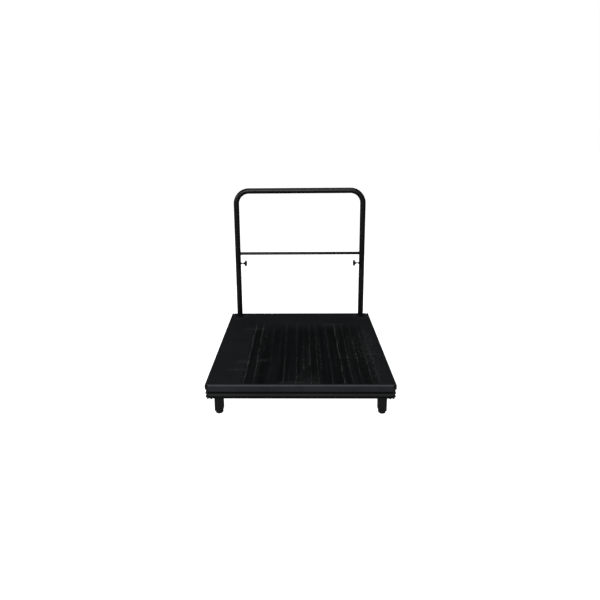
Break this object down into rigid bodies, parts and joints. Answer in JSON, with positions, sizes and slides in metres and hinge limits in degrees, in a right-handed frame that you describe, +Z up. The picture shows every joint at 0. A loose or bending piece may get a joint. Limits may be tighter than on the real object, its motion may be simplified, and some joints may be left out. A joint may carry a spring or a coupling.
{
  "type": "folding platform cart",
  "caption": "Square low deck in an extruded frame on folding front legs and rear wheels, with a tall two-part push rail held by clamp knobs.",
  "frame": {"origin": "on the floor, under the centre of the deck, with the cart standing on its front feet and rear wheels", "axes": "+X to the right, +Y to the back where the push rail stands, +Z up"},
  "size_m": [1, 1, 1.125],
  "materials": {
    "deck_ply": "film-faced plywood, black, worn satin",
    "frame_black": "extruded, black powder coat, satin",
    "cap_plastic": "moulded, fine texture",
    "tube_black": "black powder coat, satin",
    "bracket_black": "black powder coat, matt",
    "zinc_steel": "dull zinc plate",
    "black_steel": "black oxide, oiled",
    "bare_steel": "drawn tube, zinc plated",
    "knob_plastic": "moulded, satin",
    "foot_rubber": "moulded, matt",
    "nylon": "natural nylon",
    "hub_plastic": "moulded polypropylene",
    "tyre_rubber": "solid rubber"
  },
  "bodies": {
    "platform": {"deck_panel": "deck_ply", "side_rail_left": "frame_black", "side_rail_right": "frame_black", "front_rail": "frame_black", "rear_rail": "frame_black", "end_caps": "cap_plastic", "corner_brackets": "bracket_black", "corner_bolts": "black_steel", "joist_left": "tube_black", "joist_right": "tube_black", "cross_member": "tube_black", "joist_bolts": "black_steel", "panel_screws": "zinc_steel", "bracket_screws": "zinc_steel", "post_socket_left": "bracket_black", "post_socket_right": "bracket_black", "post_collar_left": "tube_black", "post_collar_right": "tube_black", "lower_post_left": "tube_black", "lower_post_right": "tube_black", "post_bolts": "zinc_steel", "spigot_left": "bare_steel", "spigot_right": "bare_steel", "leg_bracket_left": "bracket_black", "leg_bracket_right": "bracket_black", "pivot_bolt_left": "zinc_steel", "pivot_bolt_right": "zinc_steel", "pivot_nuts": "zinc_steel", "wheel_fork_left": "bracket_black", "wheel_fork_right": "bracket_black", "axle_left": "zinc_steel", "axle_right": "zinc_steel", "axle_nuts": "zinc_steel"},
    "rail": {"upper_rail": "tube_black", "crossbar": "tube_black", "clamp_nut_left": "tube_black", "clamp_nut_right": "tube_black"},
    "pad_left": {"clamp_pad_left": "zinc_steel"},
    "knob_left": {"clamp_screw_left": "black_steel", "knob_left": "knob_plastic"},
    "leg_left": {"leg_tube_left": "tube_black", "leg_foot_left": "foot_rubber", "pivot_bush_left": "zinc_steel", "friction_washers_left": "nylon"},
    "wheel_left": {"wheel_hub_left": "hub_plastic", "tyre_left": "tyre_rubber", "wheel_bearings_left": "nylon"},
    "pad_right": {"clamp_pad_right": "zinc_steel"},
    "knob_right": {"clamp_screw_right": "black_steel", "knob_right": "knob_plastic"},
    "leg_right": {"leg_tube_right": "tube_black", "leg_foot_right": "foot_rubber", "pivot_bush_right": "zinc_steel", "friction_washers_right": "nylon"},
    "wheel_right": {"wheel_hub_right": "hub_plastic", "tyre_right": "tyre_rubber", "wheel_bearings_right": "nylon"}
  },
  "joints": [
    {"name": "rail_lift", "type": "slide", "parent": "platform", "child": "rail", "axis": [0, 0, 1], "range_m": [0, 0.15]},
    {"name": "clamp_travel_left", "type": "slide", "parent": "rail", "child": "pad_left", "axis": [1, 0, 0], "range_m": [0, 0.0025]},
    {"name": "knob_turn_left", "type": "hinge", "parent": "pad_left", "child": "knob_left", "pos_m": [-0.4365, 0.446, 0.592], "axis": [1, 0, 0], "range_deg": [0, 720]},
    {"name": "clamp_travel_right", "type": "slide", "parent": "rail", "child": "pad_right", "axis": [-1, 0, 0], "range_m": [0, 0.0025]},
    {"name": "knob_turn_right", "type": "hinge", "parent": "pad_right", "child": "knob_right", "pos_m": [0.4365, 0.446, 0.592], "axis": [-1, 0, 0], "range_deg": [0, 720]},
    {"name": "leg_fold_left", "type": "hinge", "parent": "platform", "child": "leg_left", "pos_m": [-0.439, -0.425, 0.153], "axis": [1, 0, 0], "range_deg": [0, 90]},
    {"name": "leg_fold_right", "type": "hinge", "parent": "platform", "child": "leg_right", "pos_m": [0.439, -0.425, 0.153], "axis": [1, 0, 0], "range_deg": [0, 90]},
    {"name": "wheel_spin_left", "type": "hinge", "parent": "platform", "child": "wheel_left", "pos_m": [-0.439, 0.38, 0.05], "axis": [1, 0, 0], "continuous": true},
    {"name": "wheel_spin_right", "type": "hinge", "parent": "platform", "child": "wheel_right", "pos_m": [0.439, 0.38, 0.05], "axis": [1, 0, 0], "continuous": true}
  ],
  "couplings": [
    {"joint": "clamp_travel_left", "follows": "knob_turn_left", "m_per_rad": 0.00019894},
    {"joint": "clamp_travel_right", "follows": "knob_turn_right", "m_per_rad": 0.00019894}
  ]
}
